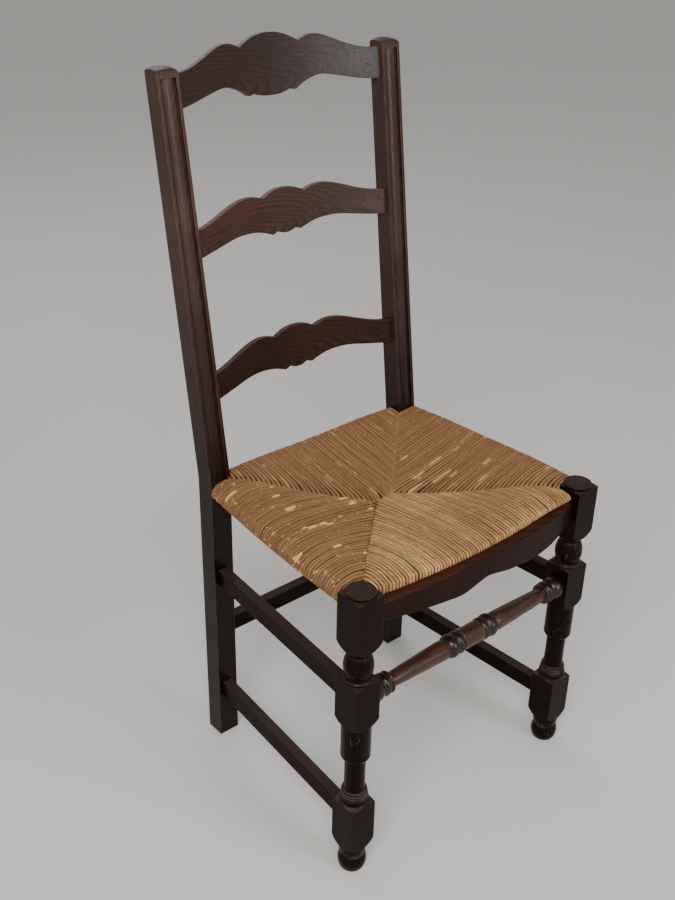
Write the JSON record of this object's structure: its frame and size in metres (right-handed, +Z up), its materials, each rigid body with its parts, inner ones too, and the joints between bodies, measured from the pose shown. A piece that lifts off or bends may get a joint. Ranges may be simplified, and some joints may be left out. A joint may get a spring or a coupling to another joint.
{
  "type": "ladderback dining chair",
  "caption": "Wooden dining chair with a raked ladder back of scalloped slats, turned front legs, a bowed front apron, box stretchers and a woven rush seat.",
  "frame": {"origin": "on the floor, under the middle of the whole chair", "axes": "+Z up; the chair faces -Y; +X is the right side as seen from in front of the chair, so names that end in left lie at -X"},
  "size_m": [0.45, 0.478, 1.0345],
  "materials": {
    "dark_stained_oak": "dark brown stained oak, waxed, open grain",
    "red_stained_oak": "red-brown stained oak, waxed, open grain",
    "bare_rail_wood": "unfinished rail wood, hidden in the rush",
    "woven_rush": "golden tan twisted rush cord, worn"
  },
  "bodies": {
    "root": {"front_leg_left": "dark_stained_oak", "front_leg_right": "dark_stained_oak", "rear_post_left": "dark_stained_oak", "rear_post_right": "dark_stained_oak", "rear_stretcher": "dark_stained_oak", "side_stretcher_lower_left": "dark_stained_oak", "side_stretcher_lower_right": "dark_stained_oak", "side_stretcher_upper_left": "dark_stained_oak", "side_stretcher_upper_right": "dark_stained_oak", "front_apron": "dark_stained_oak", "front_stretcher": "red_stained_oak", "ladder_slat_bottom": "red_stained_oak", "ladder_slat_middle": "red_stained_oak", "ladder_slat_top": "red_stained_oak", "seat_rail_back": "bare_rail_wood", "seat_rail_front": "bare_rail_wood", "seat_rail_left": "bare_rail_wood", "seat_rail_right": "bare_rail_wood", "rush_seat": "woven_rush"}
  },
  "joints": []
}
